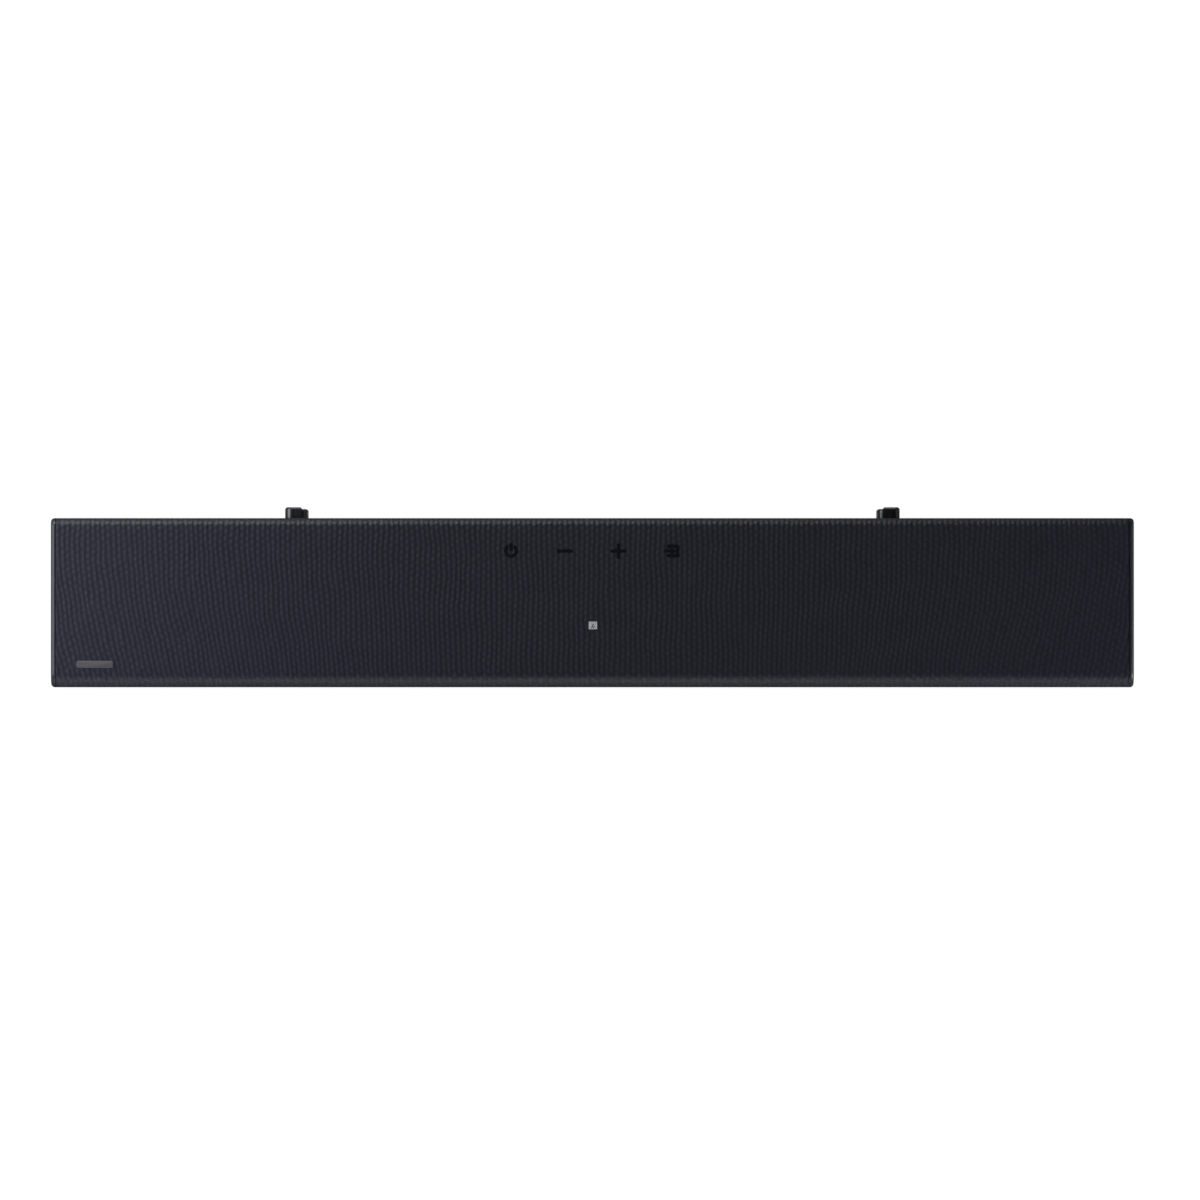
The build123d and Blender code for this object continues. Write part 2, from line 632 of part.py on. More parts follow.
def speaker_box(side):
    """The closed box behind one channel's drivers, open towards the baffle."""
    front = BAFFLE_Y + BAFFLE_T
    box = block((BOX_INNER_X, front, BOX_LOW_Z), (BOX_OUTER_X, BOX_REAR_Y, BOX_HIGH_Z))
    box -= block(
        (BOX_INNER_X + BOX_WALL, front - 1, BOX_LOW_Z + BOX_WALL),
        (BOX_OUTER_X - BOX_WALL, BOX_REAR_Y - BOX_WALL, BOX_HIGH_Z - BOX_WALL),
    )
    hole = Plane.YZ * (Pos(1, WIRE_HOLE_Z) * Circle(WIRE_HOLE_R))
    box -= Pos(BOX_INNER_X, 0, 0) * extrude(hole, amount=2 * BOX_WALL, both=True)
    return box if side > 0 else mirror(box, Plane.YZ)


def facing_front(x, shape):
    """Stands a driver piece, drawn with its front up, in the baffle."""
    return Location((x, BAFFLE_Y, DRIVER_Z), (90, 0, 0)) * shape


def woofer_basket():
    flange = extrude(RectangleRounded(WOOFER_FLANGE, WOOFER_FLANGE, 7), DRIVER_FLANGE_T)
    flange -= upright(0, 0, 23, -1, 5)
    for x in (-WOOFER_SCREW, WOOFER_SCREW):
        for y in (-WOOFER_SCREW, WOOFER_SCREW):
            flange -= upright(x, y, 1.4, -1, 5)
    cone = turned(
        (25.0, 0), (25.0, 0.8), (22.3, 0.8), (21.4, -5.6), (16.7, -13.8), (11.2, -13.8), (11.2, -15),
        (17.5, -15), (22.6, -6), (23.6, 0),
    )
    flange -= upright(0, 0, 25.0, 0.8, 5)
    basket = flange + cone
    windows = Box(60, 14, 5.5) + Box(14, 60, 5.5)
    return basket - Pos(0, 0, -9.0) * windows


def woofer_front_plate():
    return turned((10.7, -18), (16, -18), (16, -15), (10.7, -15))


def woofer_magnet():
    return turned((12, -26), (18, -26), (18, -18), (12, -18))


def woofer_yoke():
    return turned((2, -29), (16, -29), (16, -26), (9.5, -26), (9.5, -15), (2, -15))


def woofer_cone():
    return turned((10.3, -9.2), (19.2, -0.4), (19.2, 0.2), (10.3, -8.5))


def woofer_dust_cap():
    """A shallow dome on the cone's neck."""
    outer = ThreePointArc((0, -4.2), (5.6, -5.1), (11.0, -7.75))
    inner = ThreePointArc((0, -4.6), (5.5, -5.5), (10.6, -8.15))
    section = make_face(outer + inner + Line(outer @ 0, inner @ 0) + Line(outer @ 1, inner @ 1))
    return revolve(Plane.XZ * section, Axis.Z)


def woofer_voice_coil():
    return turned((9.95, -19.5), (10.35, -19.5), (10.35, -14.8), (10.2, -14.8), (10.2, -8.6), (9.95, -8.6))


def woofer_surround():
    """The rubber half-roll round the cone."""
    outer = ThreePointArc((19.3, 0.9), (21.1, 2.6), (22.9, 0.9))
    inner = ThreePointArc((19.8, 0.9), (21.1, 2.1), (22.4, 0.9))
    roll = make_face(outer + inner + Line(outer @ 0, inner @ 0) + Line(outer @ 1, inner @ 1))
    lip = Pos(23.8, 1.15) * Rectangle(2.2, 0.5)
    foot = Pos(19.55, 0.6) * Rectangle(0.5, 0.8)
    return revolve(Plane.XZ * (roll + lip + foot), Axis.Z)


def woofer_spider():
    """The corrugated disc that centres the coil."""
    top = [(10.5 + i * 0.9, -11.4 + 0.5 * (i % 2)) for i in range(9)]
    bottom = [(r, z - 0.35) for r, z in reversed(top)]
    return turned(*top, *bottom)


def tweeter_frame():
    plate = extrude(RectangleRounded(TWEETER_FLANGE_W, TWEETER_FLANGE_H, 6), DRIVER_FLANGE_T)
    plate += upright(0, 0, 14.0, -3, 0.5)
    plate -= upright(0, 0, 10.4, -4, 3)
    return plate - [upright(x, 0, 1.4, -1, 5) for x in (-TWEETER_SCREW, TWEETER_SCREW)]


def tweeter_magnet():
    """The motor: a pot with a ring gap for the dome's coil."""
    return turned((0, -10), (13, -10), (13, -3), (10.3, -3), (10.3, -8), (9.0, -8), (9.0, -3.2), (0, -3.2))


def tweeter_dome():
    """A soft dome on its coil former."""
    outer = ThreePointArc((0, 2.6), (5.4, 1.8), (9.9, -0.6))
    inner = ThreePointArc((0, 2.2), (5.2, 1.4), (9.4, -0.8))
    skin = make_face(outer + inner + Line(outer @ 0, inner @ 0) + Line(outer @ 1, inner @ 1))
    dome = revolve(Plane.XZ * skin, Axis.Z)
    return dome + turned((9.4, -6.5), (9.8, -6.5), (9.8, -0.6), (9.4, -0.9))


# ---------------------------------------------------------------- write every piece


def blank_badge():
    plate = extrude(RectangleRounded(21.7, 4.2, 1.2), 0.4)
    return Pos(-294.5, REAR_Y - 86.5, TOP_Z) * plate


PIECES = {
    "grille_fabric": grille_fabric,
    "grille_frame": grille_frame,
    "bottom_cover": bottom_cover,
    "rear_housing": rear_housing,
    "rubber_feet": rubber_feet,
    "case_screws": case_screws,
    "hanger_screws": hanger_screws,
    "driver_screws": driver_screws,
    "board_screws": board_screws,
    "key_board": key_board,
    "key_switches": key_switches,
    "status_led": status_led,
    "light_pipe": light_pipe,
    "infrared_receiver": infrared_receiver,
    "main_board": main_board,
    "heat_sink": heat_sink,
    "circuit_chips": circuit_chips,
    "capacitors": capacitors,
    "power_jack": power_jack,
    "aux_socket": aux_socket,
    "ribbon_cable": ribbon_cable,
    "speaker_wires": speaker_wires,
    "speaker_baffle": speaker_baffle,
    "blank_badge": blank_badge,
}
for node, make in PIECES.items():
    made = make()
    save(node, *(made if isinstance(made, list) else [made]))

save("display_link_socket", shell_socket(LINK_X, LINK_W, LINK_H, 11.4, 1.0, 0.4))
save("usb_socket", shell_socket(USB_X, USB_W, USB_H, 11.2, 1.9, 0.9))

KEYS = {
    "power_key": power_symbol,
    "volume_down_key": minus_symbol,
    "volume_up_key": plus_symbol,
    "source_key": source_symbol,
}
for (node, symbol), x in zip(KEYS.items(), key_positions()):
    save(node, key(x, symbol))

DRIVER_PIECES = {
    "woofer_basket": woofer_basket,
    "woofer_front_plate": woofer_front_plate,
    "woofer_magnet": woofer_magnet,
    "woofer_yoke": woofer_yoke,
    "woofer_cone": woofer_cone,
    "woofer_dust_cap": woofer_dust_cap,
    "woofer_voice_coil": woofer_voice_coil,
    "woofer_surround": woofer_surround,
    "woofer_spider": woofer_spider,
    "tweeter_frame": tweeter_frame,
    "tweeter_magnet": tweeter_magnet,
    "tweeter_dome": tweeter_dome,
}
for side, name in ((-1, "left"), (1, "right")):
    save(f"end_cap_{name}", end_cap(side))
    save(f"speaker_box_{name}", speaker_box(side))
    save(f"hanger_{name}", hanger(side))
    for node, make in DRIVER_PIECES.items():
        distance = WOOFER_X if node.startswith("woofer") else TWEETER_X
        save(f"{node}_{name}", facing_front(side * distance, make()))
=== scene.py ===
"""A compact soundbar on a white table, seen from straight above.

Lengths are in metres, in the frame of the CAD model: +X along the bar, -Y the front, +Z up. The photo's up
is +Y.
"""

import json
import math

import bmesh
import bpy
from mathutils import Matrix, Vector


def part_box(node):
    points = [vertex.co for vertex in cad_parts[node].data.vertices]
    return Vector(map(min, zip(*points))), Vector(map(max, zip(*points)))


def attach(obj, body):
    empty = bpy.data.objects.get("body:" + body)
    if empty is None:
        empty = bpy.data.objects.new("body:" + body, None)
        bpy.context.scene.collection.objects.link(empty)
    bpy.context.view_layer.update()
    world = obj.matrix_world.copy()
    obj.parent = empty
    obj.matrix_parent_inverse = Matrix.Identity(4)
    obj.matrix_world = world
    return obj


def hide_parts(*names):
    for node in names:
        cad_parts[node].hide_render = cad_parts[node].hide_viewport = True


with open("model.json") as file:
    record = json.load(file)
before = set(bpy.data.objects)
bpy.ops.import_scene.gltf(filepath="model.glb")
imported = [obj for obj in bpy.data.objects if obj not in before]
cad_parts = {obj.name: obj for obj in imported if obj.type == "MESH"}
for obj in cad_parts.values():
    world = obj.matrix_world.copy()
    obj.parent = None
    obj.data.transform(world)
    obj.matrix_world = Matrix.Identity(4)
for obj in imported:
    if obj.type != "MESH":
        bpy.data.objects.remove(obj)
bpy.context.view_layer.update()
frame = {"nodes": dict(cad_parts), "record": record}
NODES = frame["nodes"]
MM = 0.001

CLOTH_LOW, CLOTH_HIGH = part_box("grille_fabric")
LAMP_LOW, LAMP_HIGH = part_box("light_pipe")


# ---------------------------------------------------------------- camera and surroundings

# The width of the view at the height of the bar's top, and how far its middle is from the middle of the top
PHOTO_SPAN = 0.7100
VIEW_OFFSET_X = 4.50 * MM
VIEW_OFFSET_Y = 1.63 * MM
# Focal length and sensor width in mm: so long a lens shows no side faces
LENS = 400
SENSOR = 36


def make_camera():
    """Looks straight down on the middle of the cabinet's top."""
    data = bpy.data.cameras.new("camera")
    data.lens, data.sensor_width = LENS, SENSOR
    camera = bpy.data.objects.new("camera", data)
    distance = PHOTO_SPAN * LENS / SENSOR
    middle_y = (CLOTH_LOW.y + CLOTH_HIGH.y) / 2
    camera.location = (VIEW_OFFSET_X, middle_y + VIEW_OFFSET_Y, CLOTH_HIGH.z + distance)
    bpy.context.scene.collection.objects.link(camera)
    bpy.context.scene.camera = camera


# How bright the studio is in a direction, by the height of that direction from -1, down, to 1, up
STUDIO_LIGHT = ((-0.30, 0.16), (-0.05, 0.80), (0.32, 0.48), (0.60, 0.03))


def make_world():
    """White walls all round, with a dim ceiling and a grey ground."""
    world = bpy.data.worlds.new("studio")
    world.use_nodes = True
    tree = world.node_tree
    direction = tree.nodes.new("ShaderNodeTexCoord").outputs["Generated"]
    parts = tree.nodes.new("ShaderNodeSeparateXYZ")
    tree.links.new(direction, parts.inputs[0])
    height = tree.nodes.new("ShaderNodeMapRange")
    tree.links.new(parts.outputs["Z"], height.inputs["Value"])
    height.inputs["From Min"].default_value = -1
    ramp = tree.nodes.new("ShaderNodeValToRGB")
    tree.links.new(height.outputs["Result"], ramp.inputs[0])
    stops = ramp.color_ramp.elements
    while len(stops) < len(STUDIO_LIGHT):
        stops.new(0.5)
    for stop, (z, level) in zip(stops, STUDIO_LIGHT):
        stop.position = (z + 1) / 2
        stop.color = (level, level, level, 1)
    tree.links.new(ramp.outputs["Color"], tree.nodes["Background"].inputs["Color"])
    bpy.context.scene.world = world


# ---------------------------------------------------------------- materials


class Shader:
    """A material's node tree, with short calls for the nodes that the patterns use."""

    def __init__(self, name, color, roughness, metallic=0.0, **sockets):
        self.material = bpy.data.materials.new(name)
        self.material.use_nodes = True
        self.tree = self.material.node_tree
        self.principled = self.tree.nodes["Principled BSDF"]
        self.color = color
        self.set("Base Color", (*color, 1))
        self.set("Roughness", roughness)
        self.set("Metallic", metallic)
        for socket, value in sockets.items():
            self.set(socket.replace("_", " "), value)

    def set(self, socket, value):
        self.principled.inputs[socket].default_value = value

    def node(self, kind, **values):
        """A node with properties in lower case and inputs by their names."""
        made = self.tree.nodes.new("ShaderNode" + kind)
        for key, value in values.items():
            if key[0].isupper():
                target = made.inputs[key.replace("_", " ")]
                if isinstance(value, bpy.types.NodeSocket):
                    self.tree.links.new(value, target)
                else:
                    target.default_value = value
            else:
                setattr(made, key, value)
        return made

    def math(self, operation, *values):
        made = self.node("Math", operation=operation)
        for socket, value in zip(made.inputs, values):
            if isinstance(value, bpy.types.NodeSocket):
                self.tree.links.new(value, socket)
            else:
                socket.default_value = value
        return made.outputs[0]

    def place(self):
        return self.node("TexCoord").outputs["Object"]

    def noise(self, scale, detail=2.0, vector=None):
        made = self.node("TexNoise", Vector=vector or self.place(), Scale=scale, Detail=detail)
        return made.outputs["Fac"]

    def stretch(self, scale):
        """The piece's coordinates, stretched along an axis by a small scale."""
        return self.node("Mapping", Vector=self.place(), Scale=scale).outputs["Vector"]

    def mix(self, factor, first, second):
        made = self.node("Mix", data_type="RGBA")
        self.tree.links.new(factor, made.inputs[0])
        for socket, value in ((made.inputs[6], first), (made.inputs[7], second)):
            if isinstance(value, bpy.types.NodeSocket):
                self.tree.links.new(value, socket)
            else:
                socket.default_value = (*value, 1)
        return made.outputs[2]

    def spread(self, factor, low, high, from_low=0.0, from_high=1.0):
        """The factor taken from one range to another."""
        made = self.node("MapRange", Value=factor)
        made.inputs["From Min"].default_value, made.inputs["From Max"].default_value = from_low, from_high
        made.inputs["To Min"].default_value, made.inputs["To Max"].default_value = low, high
        return made.outputs["Result"]

    def smooth(self, factor, from_low, from_high):
        """0 below one value, 1 above another, and a smooth step between them."""
        made = self.node("MapRange", interpolation_type="SMOOTHSTEP", Value=factor)
        made.inputs["From Min"].default_value, made.inputs["From Max"].default_value = from_low, from_high
        return made.outputs["Result"]

    def wave(self, turns):
        """The cosine of a number of whole turns, from -1 to 1."""
        return self.math("COSINE", self.math("MULTIPLY", turns, 2 * math.pi))

    def shade(self, factor, darker, lighter):
        """The base colour, varied by a factor between two multiples of it."""
        dark = tuple(c * darker for c in self.color)
        light = tuple(min(1, c * lighter) for c in self.color)
        self.link(self.mix(factor, dark, light), "Base Color")

    def bump(self, height, distance, strength=1.0):
        made = self.node("Bump", Height=height, Distance=distance, Strength=strength)
        self.link(made.outputs["Normal"], "Normal")

    def link(self, output, socket):
        self.tree.links.new(output, self.principled.inputs[socket])


def moulded_plastic(name, color, roughness, grain=2600.0, depth=0.02 * MM, **sockets):
    """Fine spark-eroded texture, with slow changes of shade as on a large moulding."""
    s = Shader(name, color, roughness, **sockets)
    grain_noise = s.noise(grain, 3.0)
    slow = s.math("MULTIPLY", s.noise(35.0, 2.0), 0.7)
    s.shade(s.math("ADD", slow, s.math("MULTIPLY", grain_noise, 0.3)), 0.8, 1.2)
    s.link(s.spread(grain_noise, roughness - 0.08, roughness + 0.08, 0.3, 0.7), "Roughness")
    s.bump(grain_noise, depth)
    return s.material


def gloss_plastic(name, color):
    """Polished moulding with faint swirl marks."""
    s = Shader(name, color, 0.3, IOR=1.5)
    swirl = s.noise(600.0, 4.0, s.stretch((1, 1, 0.15)))
    s.link(s.spread(swirl, 0.26, 0.36, 0.35, 0.65), "Roughness")
    s.shade(s.noise(60.0), 0.8, 1.3)
    s.bump(s.noise(220.0, 1.0), 0.01 * MM, 0.4)
    return s.material


def brushed_metal(name, color, roughness, along=(0.03, 1, 1)):
    s = Shader(name, color, roughness, 1.0)
    lines = s.noise(2500.0, 2.0, s.stretch(along))
    s.link(s.spread(lines, roughness - 0.1, roughness + 0.12, 0.3, 0.7), "Roughness")
    s.shade(lines, 0.85, 1.1)
    s.bump(lines, 0.008 * MM)
    return s.material


def rubber(name, color):
    s = Shader(name, color, 0.75, Sheen_Weight=0.15, Sheen_Roughness=0.5)
    dust = s.noise(900.0, 4.0)
    s.shade(dust, 0.7, 1.6)
    s.link(s.spread(dust, 0.65, 0.9, 0.3, 0.7), "Roughness")
    s.bump(s.noise(1800.0, 3.0), 0.03 * MM)
    return s.material


def coarse_cloth(name, color, pitch):
    """A plain cloth whose threads follow X and Z, for the pieces inside."""
    s = Shader(name, color, 0.85, Sheen_Weight=0.3)
    parts = s.node("SeparateXYZ", Vector=s.place())
    across = s.math("SINE", s.math("MULTIPLY", parts.outputs["X"], 2 * math.pi / pitch))
    along = s.math("SINE", s.math("MULTIPLY", parts.outputs["Z"], 2 * math.pi / pitch))
    weave = s.spread(s.math("MULTIPLY", across, along), 0, 1, -1, 1)
    s.shade(weave, 0.7, 1.3)
    s.bump(weave, 0.1 * MM)
    return s.material


# The weave: pitch of the ribs, of the knots along a rib, and of the threads, and how far a rib leans in all
RIB = 3.04 * MM
KNOT = 4.0 * MM
THREAD = RIB / 5
LEAN = 20 * MM


def grille_cloth():
    """The bar's ribbed cloth. U runs along the bar and V round it, both in metres on the flat cloth."""
    s = Shader("woven_cloth", (0.0070, 0.0075, 0.0128), 0.47, Specular_IOR_Level=0.22)
    s.set("Sheen Weight", 0.02)
    s.set("Sheen Roughness", 0.45)
    s.set("Sheen Tint", (0.80, 0.82, 1.0, 1))
    flat = s.node("UVMap", uv_map="flat_cloth").outputs["UV"]
    parts = s.node("SeparateXYZ", Vector=flat)
    along, around = parts.outputs["X"], parts.outputs["Y"]
    wander = s.spread(s.noise(28.0, 2.0, flat), -0.5, 0.5, 0.2, 0.8)

    # Towards both ends of the bar, the ribs lean more and more on their way from the rear to the front.
    near_end = s.smooth(s.math("ABSOLUTE", along), 0.06, 0.27)
    pulled = s.smooth(around, 0.02, 0.16)
    lean = s.math("MULTIPLY", s.math("SIGN", along), LEAN)
    shift = s.math("MULTIPLY", s.math("MULTIPLY", near_end, pulled), lean)
    across = s.math("ADD", s.math("DIVIDE", s.math("ADD", along, shift), RIB), wander)
    rib = s.wave(across)
    every_second_rib = s.wave(s.math("MULTIPLY", across, 0.5))
    knot = s.math("MULTIPLY", every_second_rib, s.wave(s.math("DIVIDE", around, KNOT)))

    def thread(over, length):
        """Height of one set of threads: round across, and dipping under every second crossing."""
        round_top = s.math("ABSOLUTE", s.wave(s.math("MULTIPLY", s.math("SUBTRACT", over, 0.5), 0.5)))
        row = s.math("FLOOR", over)
        dip = s.wave(s.math("MULTIPLY", s.math("ADD", s.math("SUBTRACT", length, 0.5), row), 0.5))
        return s.math("MULTIPLY", round_top, s.spread(dip, 0.35, 1.0, -1, 1))

    u = s.math("MULTIPLY", across, RIB / THREAD)
    v = s.math("DIVIDE", around, THREAD)
    threads = s.math("MAXIMUM", thread(u, v), thread(v, s.math("ADD", u, 1.0)))
    streak = s.noise(1.0, 2.0, s.node("Mapping", Vector=flat, Scale=(900, 60, 1)).outputs["Vector"])
    slub = s.noise(1.0, 3.0, s.node("Mapping", Vector=flat, Scale=(420, 420, 1)).outputs["Vector"])
    # Painted shade: darker in the weave's hollows, lighter on its crowns; streaks and slubs are random
    # tone.
    painted_shade_and_tone = s.spread(rib, 0.22, 0.56, -1, 1)
    painted_shade_and_tone = s.math("ADD", painted_shade_and_tone, s.spread(knot, -0.13, 0.13, -1, 1))
    painted_shade_and_tone = s.math("ADD", painted_shade_and_tone, s.spread(threads, -0.15, 0.1))
    painted_shade_and_tone = s.math("ADD", painted_shade_and_tone, s.spread(streak, -0.12, 0.12, 0.25, 0.75))
    painted_shade_and_tone = s.math("ADD", painted_shade_and_tone, s.spread(slub, -0.16, 0.16, 0.25, 0.75))
    s.shade(painted_shade_and_tone, 0.36, 2.15)
    s.link(s.spread(slub, 0.52, 0.42, 0.25, 0.75), "Roughness")
    relief = s.math("ADD", rib, s.math("MULTIPLY", knot, 0.8))
    relief = s.math("ADD", relief, s.math("MULTIPLY", threads, 0.8))
    s.bump(relief, 0.12 * MM, 0.65)
    return s.material


def lit_threads():
    """Threads lit from under by the lamp."""
    s = Shader("lit_threads", (0.30, 0.30, 0.33), 0.8)
    s.set("Emission Color", (0.86, 0.87, 1.0, 1))
    s.set("Emission Strength", 0.28)
    s.shade(s.noise(900.0, 2.0), 0.6, 1.3)
    return s.material


def circuit_board(name, color):
    """Green solder mask with faint tracks."""
    s = Shader(name, color, 0.35, Coat_Weight=0.3)
    tracks = s.node("TexBrick", Vector=s.place(), Scale=120.0, Mortar_Size=0.03)
    s.shade(tracks.outputs["Fac"], 0.8, 1.7)
    s.bump(tracks.outputs["Fac"], 0.03 * MM)
    return s.material


def make_materials():
    """One material for each slot of the record, by slot name."""
    made = {
        "case_plastic": moulded_plastic("case_plastic", (0.018, 0.018, 0.020), 0.52),
        "cap_plastic": moulded_plastic(
            "cap_plastic", (0.009, 0.0095, 0.013), 0.34, 3200.0, 0.008 * MM, Specular_IOR_Level=0.22
        ),
        "gloss_black": gloss_plastic("gloss_black", (0.0045, 0.005, 0.0075)),
        "foot_rubber": rubber("foot_rubber", (0.022, 0.022, 0.022)),
        "screw_steel": brushed_metal("screw_steel", (0.09, 0.09, 0.10), 0.38),
        "key_plastic": moulded_plastic(
            "key_plastic", (0.0018, 0.0020, 0.0062), 0.6, 4000.0, 0.006 * MM, Specular_IOR_Level=0.08
        ),
        "circuit_board": circuit_board("circuit_board", (0.015, 0.09, 0.04)),
        "chip_plastic": moulded_plastic("chip_plastic", (0.02, 0.02, 0.022), 0.6),
        "heat_sink_metal": brushed_metal("heat_sink_metal", (0.62, 0.62, 0.64), 0.35, (1, 0.03, 1)),
        "can_metal": brushed_metal("can_metal", (0.5, 0.51, 0.55), 0.3),
        "switch_plastic": moulded_plastic("switch_plastic", (0.05, 0.05, 0.05), 0.5),
        "lamp_body": gloss_plastic("lamp_body", (0.8, 0.8, 0.76)),
        "socket_plastic": moulded_plastic("socket_plastic", (0.012, 0.012, 0.012), 0.45),
        "socket_metal": brushed_metal("socket_metal", (0.62, 0.62, 0.63), 0.25),
        "wire_cover": rubber("wire_cover", (0.03, 0.03, 0.03)),
        "ribbon_plastic": moulded_plastic("ribbon_plastic", (0.6, 0.62, 0.66), 0.4),
        "box_plastic": moulded_plastic("box_plastic", (0.03, 0.03, 0.03), 0.6),
        "basket_steel": moulded_plastic("basket_steel", (0.02, 0.02, 0.02), 0.4, 1200.0),
        "magnet_ferrite": moulded_plastic("magnet_ferrite", (0.06, 0.06, 0.065), 0.55, 1500.0),
        "yoke_steel": brushed_metal("yoke_steel", (0.5, 0.5, 0.52), 0.3),
        "cone_paper": moulded_plastic("cone_paper", (0.03, 0.03, 0.03), 0.85, 700.0, 0.06 * MM),
        "coil_copper": brushed_metal("coil_copper", (0.65, 0.28, 0.12), 0.25),
        "surround_rubber": rubber("surround_rubber", (0.015, 0.015, 0.015)),
        "spider_cloth": coarse_cloth("spider_cloth", (0.5, 0.34, 0.1), 0.8 * MM),
        "dome_silk": coarse_cloth("dome_silk", (0.03, 0.03, 0.04), 0.4 * MM),
        "badge_metal": brushed_metal("badge_metal", (0.098, 0.098, 0.108), 0.5),
        "cloth": grille_cloth(),
    }
    clear = Shader("clear_plastic", (0.9, 0.92, 0.95), 0.15, Transmission_Weight=0.6)
    clear.bump(clear.noise(400.0), 0.01 * MM)
    made["clear_plastic"] = clear.material
    return made


def dress(node, material):
    """Gives a CAD node's object one material."""
    slots = NODES[node].material_slots
    if not slots:
        NODES[node].data.materials.append(material)
    for one in NODES[node].material_slots:
        one.material = material


# ---------------------------------------------------------------- floor and lamps

FLOOR_HALF = 12.0

# Lamps: name, place, target, size and power. The soft ones light the cloth and aren't mirrored in anything.
SOFT_LAMPS = (
    ("key_light", (-0.64, 0.0, 0.34), (-0.3, 0, 0.06), (0.3, 0.3), 7.4),
    ("fill_light", (0.92, -0.28, 0.28), (0.34, 0, 0.06), (0.3, 0.3), 12.0),
)
# These show only as reflections, and draw the bright bands along the bar's edges.
EDGE_LAMPS = (
    ("rear_light", (-0.55, 0.80, 0.76), (-0.1, 0, 0.06), (0.9, 0.40), 20.5),
    ("front_light", (-0.05, -0.95, 0.48), (0, 0, 0.06), (1.2, 0.25), 7.2),
    ("low_rear_light", (-0.15, 0.34, 0.025), (-0.1, 0.05, 0.06), (1.1, 0.05), 0.5),
)
# These show only as reflections, and only on the glossy pieces.
GLINT_LAMPS = (
    ("left_glint", (-0.61, 0.0, 0.315), (-0.3, 0, 0.06), (0.28, 0.28), 2.1),
    ("right_glint", (0.88, -0.26, 0.265), (0.34, 0, 0.06), (0.28, 0.28), 5.0),
)
GLINT_NODES = ("end_cap_left", "end_cap_right", "hanger_left", "hanger_right", "blank_badge")


def make_floor():
    """A glowing white table top, clear from below, that isn't mirrored in the object."""
    s = Shader("table_top", (0.9, 0.9, 0.9), 0.6)
    s.set("Emission Color", (1, 1, 1, 1))
    s.set("Emission Strength", 0.93)
    from_below = s.node("NewGeometry").outputs["Backfacing"]
    one_sided = s.node("MixShader")
    clear = s.node("BsdfTransparent")
    s.tree.links.new(from_below, one_sided.inputs[0])
    s.tree.links.new(s.principled.outputs[0], one_sided.inputs[1])
    s.tree.links.new(clear.outputs[0], one_sided.inputs[2])
    s.tree.links.new(one_sided.outputs[0], s.tree.nodes["Material Output"].inputs["Surface"])
    mesh = bpy.data.meshes.new("table_top")
    corners = [(x * FLOOR_HALF, y * FLOOR_HALF, 0) for x, y in ((-1, -1), (1, -1), (1, 1), (-1, 1))]
    mesh.from_pydata(corners, [], [(0, 1, 2, 3)])
    mesh.materials.append(s.material)
    floor = bpy.data.objects.new("table_top", mesh)
    floor.visible_glossy = False
    bpy.context.scene.collection.objects.link(floor)
    return floor


def area_light(name, place, target, size, power):
    data = bpy.data.lights.new(name, "AREA")
    data.shape, data.size, data.size_y = "RECTANGLE", size[0], size[1]
    data.energy = power
    light = bpy.data.objects.new(name, data)
    light.location = place
    light.rotation_euler = (Vector(target) - Vector(place)).to_track_quat("-Z", "Y").to_euler()
    light.visible_camera = False
    bpy.context.scene.collection.objects.link(light)
    return light


def spare(light, floor):
    """Keeps one light off the floor, so that it casts no shadow there."""
    unlit = bpy.data.collections.new("not_lit_by_" + light.name)
    unlit.objects.link(floor)
    unlit.collection_objects[0].light_linking.link_state = "EXCLUDE"
    light.light_linking.receiver_collection = unlit


def aim_at_only(light, nodes):
    """Lets one light reach only some CAD nodes."""
    lit = bpy.data.collections.new("lit_by_" + light.name)
    for node in nodes:
        lit.objects.link(NODES[node])
    light.light_linking.receiver_collection = lit


def make_lamps(floor):
    for lamp in SOFT_LAMPS:
        light = area_light(*lamp)
        light.visible_glossy = False
        spare(light, floor)
    for lamp in EDGE_LAMPS:
        light = area_light(*lamp)
        light.visible_diffuse = False
        spare(light, floor)
    for lamp in GLINT_LAMPS:
        light = area_light(*lamp)
        light.visible_diffuse = False
        aim_at_only(light, GLINT_NODES)


# ---------------------------------------------------------------- mesh pieces


def new_piece(name, bm, material):
    """A smooth-shaded object from a finished mesh, with one material."""
    mesh = bpy.data.meshes.new(name)
    bm.normal_update()
    bm.to_mesh(mesh)
    bm.free()
    mesh.materials.append(material)
    mesh.shade_smooth()
    piece = bpy.data.objects.new(name, mesh)
    bpy.context.scene.collection.objects.link(piece)
    return piece


# The bar's upper corners, and the height on the rear wall at which the cloth begins
TOP_REAR_R = 4.5 * MM
TOP_FRONT_R = 9.0 * MM
CLOTH_START_Z = 57.5 * MM
# The CAD cloth's thickness, the thinner sheet's, and how deep its edges may turn in
CLOTH_T = 0.8 * MM
SHEET_T = 0.55 * CLOTH_T
DEEPEST = 0.97 * CLOTH_T
# The edges turn in over this width and by this depth
TUCK = 0.7 * MM
TUCK_DEPTH = 0.62 * MM
# Vertices along the bar, and the closer ones along every edge, by their distance from it
COLUMN = 3 * MM
EDGE_STEPS = (0.0, 0.12 * MM, 0.28 * MM, 0.48 * MM, 0.7 * MM, 1.1 * MM)


